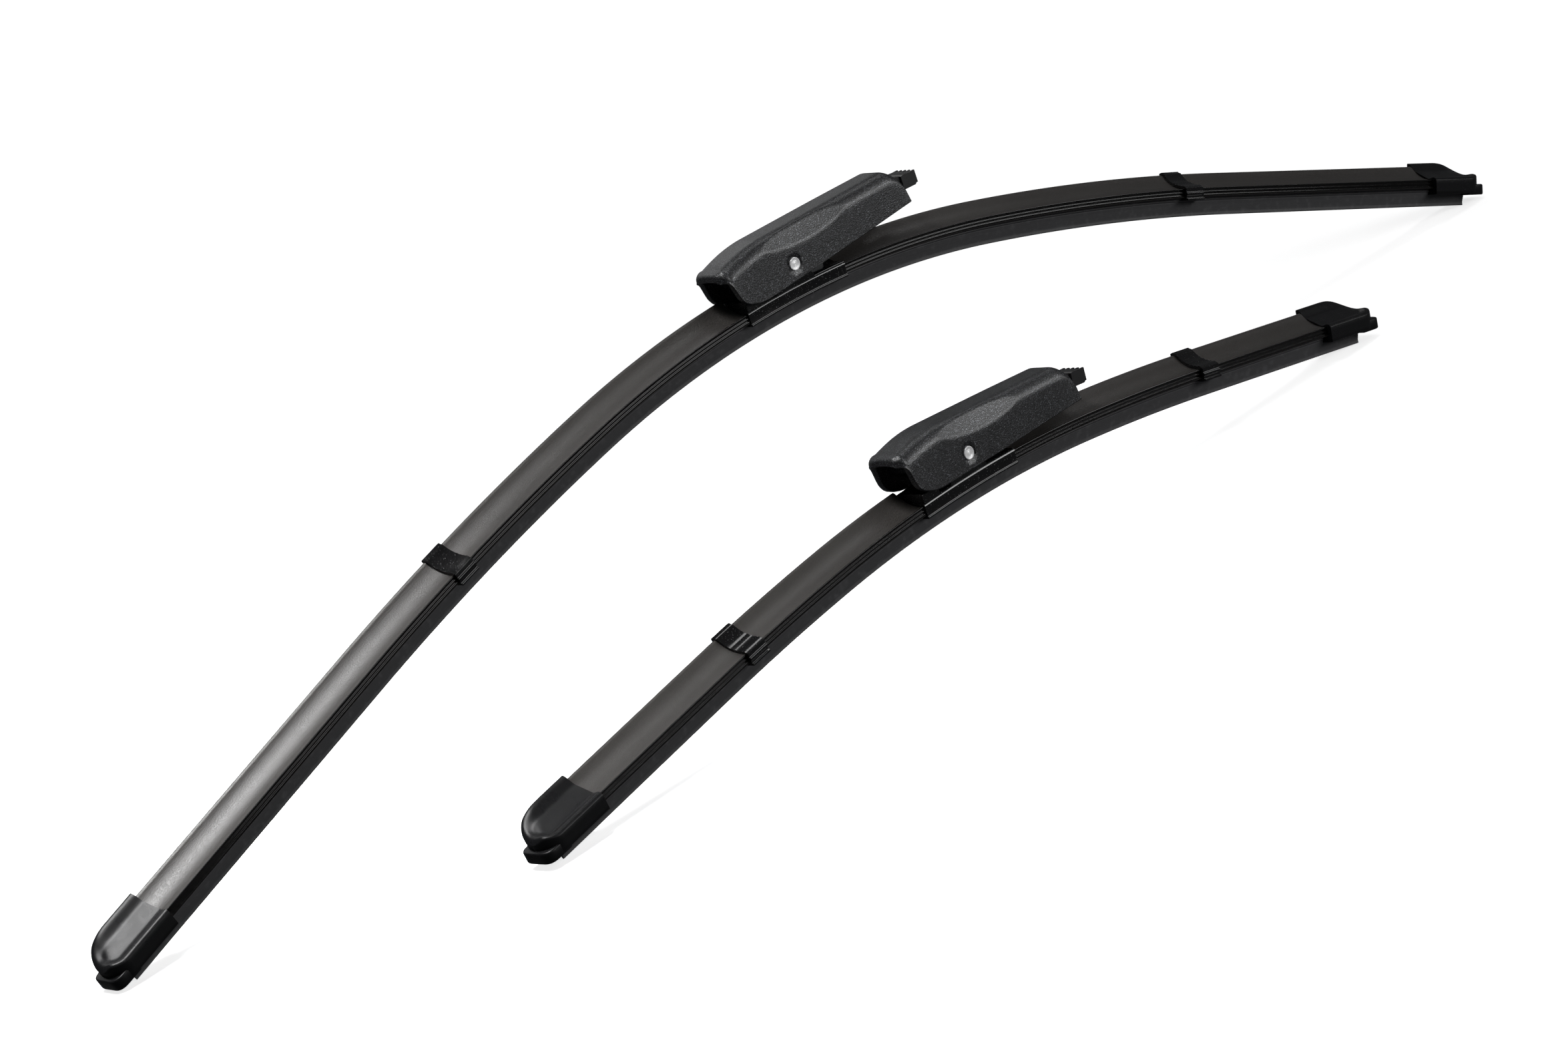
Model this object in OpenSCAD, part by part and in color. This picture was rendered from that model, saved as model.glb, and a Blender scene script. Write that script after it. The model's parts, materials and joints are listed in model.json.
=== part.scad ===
/* [Long blade] */
// Length of the long wiping rubber
long_length = 650; // [560:10:700]
// Half of the tightly curved middle stretch
long_mid_reach = 90; // [70:5:110]
// Distance from the middle at which the straight ends start
long_end_reach = 205; // [150:5:230]
// Free radius of the middle stretch
long_mid_radius = 395; // [380:5:900]
// Free radius between the middle and the straight ends
long_side_radius = 965; // [700:10:990]
// Distance of the left clip from the middle
long_left_clip = 160; // [120:1:250]
// Distance of the right clip from the middle
long_right_clip = 184; // [120:1:250]
// Rear-up tilt of the long blade's connector as it stands
long_tilt = 1; // [-5:0.5:8]
// Height of the long blade's pivot rivet above the lip
long_pivot_level = 17.5; // [17:0.1:20]

/* [Short blade] */
// Length of the short wiping rubber
short_length = 400; // [380:10:450]
// Half of the tightly curved middle stretch
short_mid_reach = 60; // [50:5:80]
// Distance from the middle at which the straight ends start
short_end_reach = 120; // [100:5:140]
// Free radius of the middle stretch
short_mid_radius = 525; // [480:5:900]
// Free radius between the middle and the straight ends
short_side_radius = 990; // [700:10:990]
// Distance of the left clip from the middle
short_left_clip = 106; // [90:1:140]
// Distance of the right clip from the middle
short_right_clip = 119; // [90:1:140]
// Rear-up tilt of the short blade's connector as it stands
short_tilt = -4; // [-5:0.5:8]
// Height of the short blade's pivot rivet above the lip
short_pivot_level = 17.5; // [17:0.1:20]
// How far the short blade stands in front of the long one
blade_gap = 78; // [60:1:150]
// How far the short blade is shifted towards the left end
blade_shift = 20; // [0:1:60]
// Turn of the short blade seen from above
blade_yaw = 4; // [-5:0.5:8]

/* [Section] */
// Height of the spoiler's fin above the lip
fin_level = 14.6; // [13.5:0.1:16]
// Height of the spoiler's front brow above the lip
brow_level = 9.4; // [9.2:0.1:10]
// Height of the steel rails' mid plane above the lip
rail_level = 7.6; // [7.6:0.1:7.6]
// Half width of the spoiler at its foot
spoiler_half = 5.2; // [5.1:0.1:5.6]
// How far the fin leans out behind the foot
fin_overhang = 0.7; // [0.3:0.1:1]
// Depth of the hollow in the spoiler's face
face_hollow = 1.4; // [0.8:0.1:1.6]
// Thickness of one steel rail
rail_thickness = 0.9; // [0.7:0.05:1]
// Half width over both steel rails
rail_half = 4.4; // [4.2:0.1:4.5]
// Thickness of the lip's edge
lip_edge = 0.7; // [0.5:0.1:1]

/* [Connector] */
// Radius of the pivot rivet
rivet_r = 2.2; // [1.8:0.1:2.4]
// Half width of the connector cover at its foot
cover_half = 8.9; // [8.6:0.1:10]
// Height of the cover's roof above the rivet
cover_roof = 12.2; // [12:0.1:13]
// Length of the base clamp along the rails
clamp_length = 44; // [36:1:48]

/* [Hidden] */
$fn = 64;
bend_fn = 1440;
snug = 0.1;
seam = 0.01;
running = 0.05;
rail_slot_half = rail_half + snug;
rail_low = rail_level - rail_thickness / 2;
rail_high = rail_level + rail_thickness / 2;
sole_level = 6.45;
throat_half = 3.1;
rubber_head_half = 2;
rubber_head_top = 8.85;
shoulder_level = 5.3;
fin_thickness = 0.6;
spoiler_start = clamp_length / 2 + 0.3;
spoiler_end_gap = 4;
rail_end_gap = 6;
cap_hold = 19;
cap_nose = 8;
cap_wall = 1.5;
clip_width = 8;
clip_wall = 0.85;
ear_in = 4.6;
ear_out = 5.8;
ear_r = 3.6;
bush_r = 3.4;
cavity_half = 6.5;
cavity_top_half = 5.4;
cavity_roof = cover_roof - 1.7;
insert_half = 6.3;
insert_core_half = 4.3;
socket_half = 5.2;
socket_low = 2.2;
socket_high = 7.8;
insert_end = 42;
lever_x = 33;
lever_z = 8.8;
lever_pin_r = 0.8;
set_shift = 44.88;

// One blade: length, reaches, radii, tilt, place [x, y], yaw, pivot level
LONG = [long_length, long_mid_reach, long_end_reach, long_mid_radius, long_side_radius,
    long_tilt, [0, set_shift], 0, long_pivot_level];
SHORT = [short_length, short_mid_reach, short_end_reach, short_mid_radius, short_side_radius,
    short_tilt, [-blade_shift, set_shift - blade_gap], blade_yaw, short_pivot_level];

function half_length(b) = b[0] / 2;
function mid_reach(b) = b[1];
function end_reach(b) = b[2];
function mid_radius(b) = b[3];
function side_radius(b) = b[4];
function tilt(b) = b[5];
function place(b) = b[6];
function yaw(b) = b[7];
function pivot_level(b) = b[8];

// Turn of the beam, in degrees, between the middle and the point s along it
function turn(b, s) = sign(s) * (min(abs(s), mid_reach(b)) / mid_radius(b)
    + max(0, min(abs(s), end_reach(b)) - mid_reach(b)) / side_radius(b)) * 180 / PI;
// Centre of the arc between the middle and the straight right end
function side_centre(b) = [0, -mid_radius(b)] + (mid_radius(b) - side_radius(b))
    * [sin(turn(b, mid_reach(b))), cos(turn(b, mid_reach(b)))];
// Point s of the right half on the rail line, measured from the top of the arch
function right_point(b, s) = let (t = turn(b, s))
    s <= mid_reach(b) ? mid_radius(b) * [sin(t), cos(t) - 1]
    : s <= end_reach(b) ? side_centre(b) + side_radius(b) * [sin(t), cos(t)]
    : right_point(b, end_reach(b)) + (s - end_reach(b)) * [cos(t), -sin(t)];
function beam_point(b, s) = let (p = right_point(b, abs(s))) [sign(s) * p[0], p[1]];
// Height of the rail line's top above the ground
function apex(b) = rail_level * cos(turn(b, half_length(b))) - beam_point(b, half_length(b))[1];

// Puts a blade where it stands, with its rail line's top at the origin
module stand(b) {
    translate([place(b)[0], place(b)[1], apex(b)])
        rotate([0, 0, yaw(b)])
            children();
}

// Sweeps a section, drawn as (depth, height above the lip), around one arc
module bend(r, from_turn, to_turn) {
    rotate([90, 0, 0])
        rotate([0, 0, 90 - to_turn])
            rotate_extrude(angle = to_turn - from_turn, $fn = bend_fn)
                translate([r - rail_level, 0])
                    rotate(-90)
                        children();
}

// Sweeps a section along the beam between two places. Where the radius changes, the stretches leave
// a hairline seam, and a short key, which lies within the section at core, joins them into one solid.
module along_beam(b, from, to, core) {
    for (side = [-1, 1]) {
        lo = side > 0 ? from : -to;
        hi = side > 0 ? to : -from;
        end_lo = max(end_reach(b) + seam, lo) - end_reach(b);
        end_hi = hi - end_reach(b);
        if (end_hi > end_lo)
            at_beam(b, side * end_reach(b))
                extrude_x(side > 0 ? end_lo : -end_hi, side > 0 ? end_hi : -end_lo)
                    children();
        side_lo = max(mid_reach(b) + seam, lo);
        side_hi = min(end_reach(b), hi);
        if (side_hi > side_lo)
            translate([side * side_centre(b)[0], 0, side_centre(b)[1]])
                bend(side_radius(b), turn(b, side > 0 ? side_lo : -side_hi),
                        turn(b, side > 0 ? side_hi : -side_lo))
                    children();
        for (s = [mid_reach(b), end_reach(b)])
            if (s > lo && s < hi)
                at_beam(b, side * s)
                    extrude_x(-0.5, 0.5)
                        translate(core[0])
                            square(core[1]);
    }
    mid_lo = max(-mid_reach(b), from);
    mid_hi = min(mid_reach(b), to);
    translate([0, 0, -mid_radius(b)])
        bend(mid_radius(b), turn(b, mid_lo), turn(b, mid_hi))
            children();
}

// Local frame on the beam: X along it, Z up from the lip
module at_beam(b, s) {
    translate([beam_point(b, s)[0], 0, beam_point(b, s)[1]])
        rotate([0, turn(b, s), 0])
            translate([0, 0, -rail_level])
                children();
}

// Extrudes a (depth, height) section along local X
module extrude_x(from, to) {
    translate([from, 0, 0])
        rotate([90, 0, 90])
            linear_extrude(to - from)
                children();
}

// Extrudes an (x, z) outline across the blade, between two depths
module extrude_y(from, to) {
    translate([0, to, 0])
        rotate([90, 0, 0])
            linear_extrude(to - from)
                children();
}

function arc_points(c, r, from, to, steps) =
    [for (i = [0:steps]) c + r * [cos(from + (to - from) * i / steps), sin(from + (to - from) * i / steps)]];

// The spoiler's outline grown by d: foot, brow, hollow face, fin, back
face_front = [-spoiler_half, brow_level];
face_back = [spoiler_half + fin_overhang - fin_thickness, fin_level];
face_chord = norm(face_back - face_front);
face_r = face_chord * face_chord / (8 * face_hollow) + face_hollow / 2;
face_slope = atan2(face_back[1] - face_front[1], face_back[0] - face_front[0]);
face_centre = (face_front + face_back) / 2
    + (face_r - face_hollow) * [-sin(face_slope), cos(face_slope)];
face_sweep = asin(face_chord / 2 / face_r);
// Angle on the hollow face from its fin, part 0, to its brow, part 1
function face_angle(part) = face_slope - 90 + face_sweep * (1 - 2 * part);
function skin(d) = concat(
    [[-spoiler_half - d, sole_level - d], [spoiler_half + d, sole_level - d],
        [spoiler_half + d, brow_level], [spoiler_half + fin_overhang + d, fin_level + d * 0.5]],
    [[face_back[0], fin_level + d]],
    arc_points(face_centre, face_r - d, face_slope - 90 + face_sweep, face_slope - 90 - face_sweep, 10),
    [[-spoiler_half - d, brow_level + d * 0.2]]);

module band(half, low, high) {
    translate([-half, low])
        square([2 * half, high - low]);
}

module grip_channel() {
    band(rail_slot_half, rail_low - snug, rail_high + snug);
    band(throat_half, 0, rail_level);
    band(rubber_head_half + snug, rail_level, rubber_head_top + snug);
}

// Lip, wedge, shoulder, neck, and the head with its two rail grooves
module rubber_section() {
    rear = [[lip_edge / 2, 0], [lip_edge / 2 + 0.1, 1], [2.35, 4.3], [2.35, 4.55],
        [2.8, 4.7], [2.8, shoulder_level], [0.55, shoulder_level], [0.55, 5.9], [2.9, 5.9],
        [2.9, rail_low - snug], [1.1, rail_low - snug], [1.1, rail_high + snug],
        [rubber_head_half, rail_high + snug], [rubber_head_half, 8.5],
        [rubber_head_half - 0.4, rubber_head_top]];
    polygon(concat(rear, [for (i = [len(rear) - 1:-1:0]) [-rear[i][0], rear[i][1]]]));
}

module wiping_rubber(b) {
    color([0.16, 0.16, 0.17])
        stand(b)
            along_beam(b, -half_length(b), half_length(b), [[-0.2, 0.5], [0.4, 8]])
                rubber_section();
}

module rail(b, side) {
    rail_in = 1.2;
    color([0.55, 0.56, 0.58])
        stand(b)
            along_beam(b, rail_end_gap - half_length(b), half_length(b) - rail_end_gap,
                    [[side * 2.8 - 1, rail_level - 0.3], [2, 0.6]])
                translate([side > 0 ? rail_in : -rail_half, rail_low])
                    square([rail_half - rail_in, rail_thickness]);
}

module spoiler_section() {
    groove = 0.3;
    difference() {
        polygon(skin(0));
        grip_channel();
        translate([-spoiler_half, sole_level + 0.9])
            square([2 * groove, 0.35], center = true);
        translate([-spoiler_half, brow_level - 0.7])
            square([2 * groove, 0.35], center = true);
    }
}

module spoiler(b, side) {
    outer = half_length(b) - spoiler_end_gap;
    color([0.24, 0.23, 0.22])
        stand(b)
            along_beam(b, side > 0 ? spoiler_start : -outer, side > 0 ? outer : -spoiler_start,
                    [[0, 9.3], [3, 0.8]])
                spoiler_section();
}

// Plan outline with a half round end, for the end cap
module cap_plan(inset) {
    r = spoiler_half + cap_wall - inset;
    union() {
        translate([-cap_hold - 1, -r])
            square([cap_hold + 1 + cap_nose - inset - r, 2 * r]);
        translate([cap_nose - inset - r, 0])
            circle(r);
    }
}

module cap_side() {
    top = fin_level + cap_wall;
    polygon(concat([[-cap_hold, 5.4], [0.6, 5.4], [1.6, 3.6], [6.4, 3.6], [cap_nose, 4.8], [cap_nose, 8.6]],
        arc_points([-6, -0.4], top + 0.4, 37, 90, 8), [[-cap_hold, top]]));
}

module end_cap(b, side) {
    color([0.07, 0.07, 0.075])
        stand(b)
            mirror([side > 0 ? 0 : 1, 0, 0])
                at_beam(b, half_length(b))
                    difference() {
                        intersection() {
                            extrude_x(-cap_hold, cap_nose)
                                cap_section();
                            extrude_y(-9, 9)
                                cap_side();
                            translate([0, 0, 2])
                                linear_extrude(20)
                                    cap_plan(0);
                        }
                        extrude_x(-cap_hold - 1, 0.4 - spoiler_end_gap)
                            polygon(skin(snug));
                        extrude_x(-cap_hold - 1, 0.4)
                            band(throat_half, 0, rubber_head_top + snug);
                        intersection() {
                            extrude_x(1.5 - cap_hold, cap_nose)
                                scoop_section();
                            translate([0, 0, 2])
                                linear_extrude(20)
                                    cap_plan(1.3);
                        }
                    }
}

module cap_section() {
    union() {
        polygon(skin(cap_wall));
        band(spoiler_half + cap_wall, 3, brow_level);
    }
}

// The space above the cap's hollowed face
module scoop_section() {
    difference() {
        translate([-spoiler_half, brow_level])
            square([2 * spoiler_half, 10]);
        polygon(skin(0.9));
    }
}

module clip(b, s) {
    color([0.05, 0.05, 0.055])
        stand(b)
            at_beam(b, s)
                extrude_x(-clip_width / 2, clip_width / 2)
                    clip_section();
}

// A claw round the whole spoiler, with ridges that run along the blade
module clip_section() {
    ridge_r = 0.4;
    outer_r = face_r - snug - clip_wall;
    difference() {
        union() {
            polygon(skin(snug + clip_wall));
            for (part = [0.45, 0.62, 0.8])
                translate(face_centre + outer_r * [cos(face_angle(part)), sin(face_angle(part))])
                    circle(ridge_r, $fn = 24);
            translate([-spoiler_half - snug - clip_wall, rail_level - 0.2])
                circle(ridge_r, $fn = 24);
            translate([-spoiler_half - snug - clip_wall - 0.5, sole_level - snug - clip_wall])
                square([1, 1]);
        }
        polygon(skin(snug));
        band(throat_half + 0.2, 0, rail_level);
    }
}

module clamp_section() {
    difference() {
        band(5.9, 5.2, 10.4);
        grip_channel();
    }
}

module ear_outline(b) {
    difference() {
        union() {
            circle(ear_r);
            polygon([[-9, 10.2 - pivot_level(b)], [9, 10.2 - pivot_level(b)], [ear_r, 0], [-ear_r, 0]]);
        }
        circle(rivet_r);
    }
}

module base_clamp(b) {
    color([0.04, 0.04, 0.045])
        stand(b)
            union() {
                along_beam(b, -clamp_length / 2, clamp_length / 2, [])
                    clamp_section();
                for (side = [-1, 1])
                    at_pivot(b)
                        extrude_y(side > 0 ? ear_in : -ear_out, side > 0 ? ear_out : -ear_in)
                            ear_outline(b);
                at_beam(b, 14 - clamp_length / 2)
                    extrude_x(-13.5, -6)
                        band(5.6, 10, 13.4);
            }
}

module at_pivot(b) {
    translate([0, 0, pivot_level(b) - rail_level])
        children();
}

// The connector's own frame, turned about the rivet
module on_pivot(b) {
    at_pivot(b)
        rotate([0, -tilt(b), 0])
            children();
}

module pivot_rivet(b) {
    reach_y = cover_half - 0.1;
    dish_r = 5;
    color([0.8, 0.81, 0.82])
        stand(b)
            at_pivot(b)
                difference() {
                    extrude_y(-reach_y, reach_y)
                        circle(rivet_r);
                    for (side = [-1, 1])
                        translate([0, side * (reach_y + dish_r - 0.35), 0])
                            sphere(dish_r);
                }
}

module pivot_bush(b) {
    color([0.85, 0.84, 0.8])
        stand(b)
            on_pivot(b)
                extrude_y(-insert_core_half, insert_core_half)
                    difference() {
                        circle(bush_r);
                        circle(rivet_r + running);
                    }
}

module cover_side() {
    polygon(concat([[-28.6, 2.8], [-26.4, -1], [-23.4, -3.9], [-19.5, -5.6], [-14.5, -6.3], [54.5, -1.1]],
        arc_points([51, 7.7], 4.5, 0, 90, 5),
        [[-8, cover_roof], [-14, 11.85], [-20, 11], [-25, 9.7], [-28, 8.6], [-29.3, 7.4], [-29.5, 5]]));
}

module cover_plan() {
    polygon(concat([[56, -8.2], [56, 8.2], [20, cover_half], [-17, cover_half]],
        arc_points([-25, 4], 4.6, 80, 180, 6),
        arc_points([-25, -4], 4.6, 180, 280, 6),
        [[-17, -cover_half], [20, -cover_half]]));
}

module cover_section() {
    polygon(concat([[-cover_half, -8], [cover_half, -8], [cover_half - 0.2, 4]],
        arc_points([cover_half - 4.2, cover_roof - 3], 3, 15, 90, 5),
        arc_points([4.2 - cover_half, cover_roof - 3], 3, 90, 165, 5),
        [[0.2 - cover_half, 4]]));
}

module cover_cavity() {
    cavity_start = -27.4;
    cavity_step = -15;
    extrude_x(cavity_start, cavity_step + 1)
        band(cavity_half, -10, 6.6);
    extrude_x(cavity_step, 60)
        polygon([[-cavity_half, -10], [cavity_half, -10], [cavity_half, 5], [cavity_top_half, 7],
            [cavity_top_half, cavity_roof], [-cavity_top_half, cavity_roof], [-cavity_top_half, 7],
            [-cavity_half, 5]]);
}

module finger_hollow(side) {
    hollow_r = 168;
    translate([8, side * (cover_half - 1.4 + hollow_r * cos(23)), 8 + hollow_r * sin(23)])
        sphere(hollow_r, $fn = 180);
}

module connector_cover(b) {
    web_x = -20;
    color([0.06, 0.06, 0.065])
        stand(b)
            on_pivot(b)
                difference() {
                    union() {
                        difference() {
                            intersection() {
                                extrude_y(-12, 12)
                                    cover_side();
                                translate([0, 0, -10])
                                    linear_extrude(25)
                                        cover_plan();
                                extrude_x(-40, 60)
                                    cover_section();
                            }
                            cover_cavity();
                        }
                        translate([web_x, -cavity_half - 0.5, 3])
                            cube([1.4, 2 * cavity_half + 1, 5]);
                    }
                    extrude_y(-12, 12)
                        circle(rivet_r + running);
                    for (side = [-1, 1])
                        translate([0, side * (cover_half - 0.2), 0])
                            rotate([90, 0, 0])
                                cylinder(r = rivet_r + 0.5, h = 0.8, center = true);
                    extrude_y(-7, 7)
                        translate([lever_x, lever_z])
                            circle(lever_pin_r);
                    finger_hollow(-1);
                    finger_hollow(1);
                }
}

module adapter_insert(b) {
    color([0.1, 0.1, 0.11])
        stand(b)
            on_pivot(b)
                difference() {
                    union() {
                        extrude_y(-insert_core_half, insert_core_half)
                            polygon([[-12, -3], [12, -3], [18, 1], [18, 7], [-8, 7], [-12, 4]]);
                        extrude_y(-insert_half, insert_half)
                            polygon([[13, -2], [16, -2], [23, 0.2], [insert_end, 1], [insert_end, 7], [13, 7]]);
                    }
                    extrude_y(-12, 12)
                        circle(bush_r);
                    translate([19, -socket_half, socket_low])
                        cube([60, 2 * socket_half, 20]);
                    for (side = [-1, 1])
                        extrude_x(12, 60)
                            polygon([[side * 9, 5], [side * insert_half, 5], [side * 5.2, 7.2],
                                [side * 9, 7.2]]);
                }
}

module release_lever(b) {
    pad_start = 56.8;
    pad_end = 63;
    color([0.03, 0.03, 0.035])
        stand(b)
            on_pivot(b)
                difference() {
                    union() {
                        extrude_y(-3.8, 3.8)
                            lever_outline(pad_start + 0.5);
                        extrude_y(-4.6, 4.6)
                            polygon([[pad_start, 2.6], [pad_end - 1, 2.4], [pad_end, 3.2], [pad_end, 6.2],
                                [pad_end - 1, 7], [pad_start + 1, 7.4], [pad_start, 7.2]]);
                        for (y = [-4:2:4])
                            translate([pad_start + 2, y - 0.4, 2.8])
                                cube([pad_end - pad_start - 1.6, 0.8, 4.3]);
                    }
                    extrude_y(-6, 6)
                        translate([lever_x, lever_z])
                            circle(lever_pin_r + running);
                }
}

module lever_outline(pad_start) {
    union() {
        translate([lever_x, lever_z])
            circle(1.5);
        polygon([[26, 6.6], [27.2, 6.6], [28.6, 8.2], [46, 8.2], [pad_start, 5.4], [pad_start, 7.2],
            [47, 9.5], [26, 9.5]]);
    }
}

module lever_pin(b) {
    color([0.7, 0.71, 0.72])
        stand(b)
            on_pivot(b)
                extrude_y(-6.8, 6.8)
                    translate([lever_x, lever_z])
                        circle(lever_pin_r);
}

module return_spring(b) {
    leaf = 0.25;
    color([0.75, 0.76, 0.78])
        stand(b)
            on_pivot(b)
                extrude_y(-2.5, 2.5)
                    polygon([[4, 7.05], [15, 7.05], [25.5, 9.6], [31, 9.6], [31, 9.6 + leaf],
                        [25.4, 9.6 + leaf], [14.9, 7.05 + leaf], [4, 7.05 + leaf]]);
}

wiping_rubber(LONG);  // long_wiping_rubber
rail(LONG, -1);  // long_rail_front
rail(LONG, 1);  // long_rail_rear
spoiler(LONG, -1);  // long_spoiler_left
spoiler(LONG, 1);  // long_spoiler_right
end_cap(LONG, -1);  // long_end_cap_left
end_cap(LONG, 1);  // long_end_cap_right
clip(LONG, -long_left_clip);  // long_clip_left
clip(LONG, long_right_clip);  // long_clip_right
base_clamp(LONG);  // long_base_clamp
pivot_rivet(LONG);  // long_pivot_rivet
pivot_bush(LONG);  // long_pivot_bush
connector_cover(LONG);  // long_connector_cover
adapter_insert(LONG);  // long_adapter_insert
release_lever(LONG);  // long_release_lever
lever_pin(LONG);  // long_lever_pin
return_spring(LONG);  // long_return_spring
wiping_rubber(SHORT);  // short_wiping_rubber
rail(SHORT, -1);  // short_rail_front
rail(SHORT, 1);  // short_rail_rear
spoiler(SHORT, -1);  // short_spoiler_left
spoiler(SHORT, 1);  // short_spoiler_right
end_cap(SHORT, -1);  // short_end_cap_left
end_cap(SHORT, 1);  // short_end_cap_right
clip(SHORT, -short_left_clip);  // short_clip_left
clip(SHORT, short_right_clip);  // short_clip_right
base_clamp(SHORT);  // short_base_clamp
pivot_rivet(SHORT);  // short_pivot_rivet
pivot_bush(SHORT);  // short_pivot_bush
connector_cover(SHORT);  // short_connector_cover
adapter_insert(SHORT);  // short_adapter_insert
release_lever(SHORT);  // short_release_lever
lever_pin(SHORT);  // short_lever_pin
return_spring(SHORT);  // short_return_spring
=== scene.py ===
"""Dresses a pair of beam wiper blades: moulded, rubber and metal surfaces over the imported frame.

Sizes inside the shape code are millimetres; a Blade turns them into metres where it places them.
"""
import json
import math

import bmesh
import bpy
from bpy.props import FloatProperty, FloatVectorProperty, PointerProperty
from mathutils import Matrix, Vector

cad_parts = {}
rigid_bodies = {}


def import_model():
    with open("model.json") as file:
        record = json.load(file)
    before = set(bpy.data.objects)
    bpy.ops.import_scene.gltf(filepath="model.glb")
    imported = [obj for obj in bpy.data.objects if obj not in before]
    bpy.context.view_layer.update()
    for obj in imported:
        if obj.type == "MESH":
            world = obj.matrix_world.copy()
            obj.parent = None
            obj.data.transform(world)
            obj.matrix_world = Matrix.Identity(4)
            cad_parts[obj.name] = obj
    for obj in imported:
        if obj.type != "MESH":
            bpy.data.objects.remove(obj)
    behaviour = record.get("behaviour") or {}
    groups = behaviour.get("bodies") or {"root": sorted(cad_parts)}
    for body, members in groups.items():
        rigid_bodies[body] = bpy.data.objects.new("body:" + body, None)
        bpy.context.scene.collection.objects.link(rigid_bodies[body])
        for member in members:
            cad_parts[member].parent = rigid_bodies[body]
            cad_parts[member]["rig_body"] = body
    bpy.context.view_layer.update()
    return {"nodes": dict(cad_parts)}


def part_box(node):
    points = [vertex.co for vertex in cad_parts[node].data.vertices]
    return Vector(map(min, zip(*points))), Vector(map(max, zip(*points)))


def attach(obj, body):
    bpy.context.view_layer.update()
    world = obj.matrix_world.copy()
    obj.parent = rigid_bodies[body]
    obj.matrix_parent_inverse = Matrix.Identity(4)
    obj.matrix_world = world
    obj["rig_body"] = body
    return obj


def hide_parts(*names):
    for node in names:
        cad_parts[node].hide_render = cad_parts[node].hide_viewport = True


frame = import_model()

bl_info = {
    "name": "Beam Wiper Blade Pair",
    "version": (1, 0, 0),
    "blender": (4, 5, 0),
    "location": "View3D > Sidebar > Wiper Blades",
    "description": "Builds the visible surfaces of a long and a short beam wiper blade",
    "category": "Object",
}

BLADES = ("long", "short")
SIDES = (("left", -1), ("right", 1))
MM = 0.001

# Heights above the lip
SOLE_LEVEL = 6.45
RAIL_LEVEL = 7.6
BROW_LEVEL = 9.4
FIN_LEVEL = 14.6
PIVOT_LEVEL = 17.5

# Depths from the middle of the section, and the clamp's reach along the blade
SPOILER_HALF = 5.2
FIN_OUT = 5.9
CLAMP_HALF = 22.0

# The end cap's nose: how far past the rubber it ends, and its radius seen from above
CAP_NOSE = 6.6
CAP_RADIUS = 6.7
CAP_BEND = CAP_NOSE - CAP_RADIUS

# The cover's lip: (distance in from the outside, drop below the wall)
COVER_LIP = ((0.35, 0.3), (1.2, 0.34), (1.95, 0.3))

# Colour sockets of a Mix node, which share their names with its other sockets
MIX_COLOURS = (6, 7)
MIX_RESULT = 2


# ---- Sizes and colours a user would change ----

class WiperSizes(bpy.types.PropertyGroup):
    """How the two blades are bent and what is fitted along them"""
    long_length: FloatProperty(
        name="Long Blade", description="Length of the long wiping rubber",
        default=0.650, min=0.5, max=0.7, unit="LENGTH")
    short_length: FloatProperty(
        name="Short Blade", description="Length of the short wiping rubber",
        default=0.400, min=0.35, max=0.45, unit="LENGTH")
    long_tilt: FloatProperty(
        name="Long Connector Tilt", description="Rear-up turn of the long blade's connector",
        default=math.radians(1), subtype="ANGLE")
    short_tilt: FloatProperty(
        name="Short Connector Tilt", description="Rear-up turn of the short blade's connector",
        default=math.radians(-4), subtype="ANGLE")
    short_yaw: FloatProperty(
        name="Short Blade Turn", description="Turn of the short blade seen from above",
        default=math.radians(4), subtype="ANGLE")
    lip_lean: FloatProperty(
        name="Lip Lean", description="How far the soft lip has flopped over on its neck",
        default=math.radians(14), subtype="ANGLE")
    grip_depth: FloatProperty(
        name="Finger Hollow", description="Depth of the finger hollow in the cover's shoulder",
        default=0.0015, unit="LENGTH")


class WiperColours(bpy.types.PropertyGroup):
    """Base colours of the finishes"""
    spoiler: FloatVectorProperty(
        name="Spoiler", description="Satin extruded spoiler rubber", subtype="COLOR",
        default=(0.030, 0.0275, 0.0255))
    rubber: FloatVectorProperty(
        name="Wiping Rubber", description="Matte wiping rubber", subtype="COLOR",
        default=(0.042, 0.042, 0.0437))
    cap: FloatVectorProperty(
        name="End Cap", description="Satin end cap plastic", subtype="COLOR",
        default=(0.005, 0.005, 0.0055))
    cover: FloatVectorProperty(
        name="Cover", description="Grained connector cover plastic", subtype="COLOR",
        default=(0.0045, 0.0047, 0.0052))
    gloss: FloatVectorProperty(
        name="Clip and Clamp", description="Glossy black plastic", subtype="COLOR",
        default=(0.004, 0.004, 0.0042))
    floor: FloatVectorProperty(
        name="Floor", description="Pale studio floor", subtype="COLOR",
        default=(0.9, 0.9, 0.9))


def settings():
    """The sizes and the colours held by the scene"""
    return bpy.context.scene.wiper_sizes, bpy.context.scene.wiper_colours


# ---- Where things are on a bent blade ----

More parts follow.
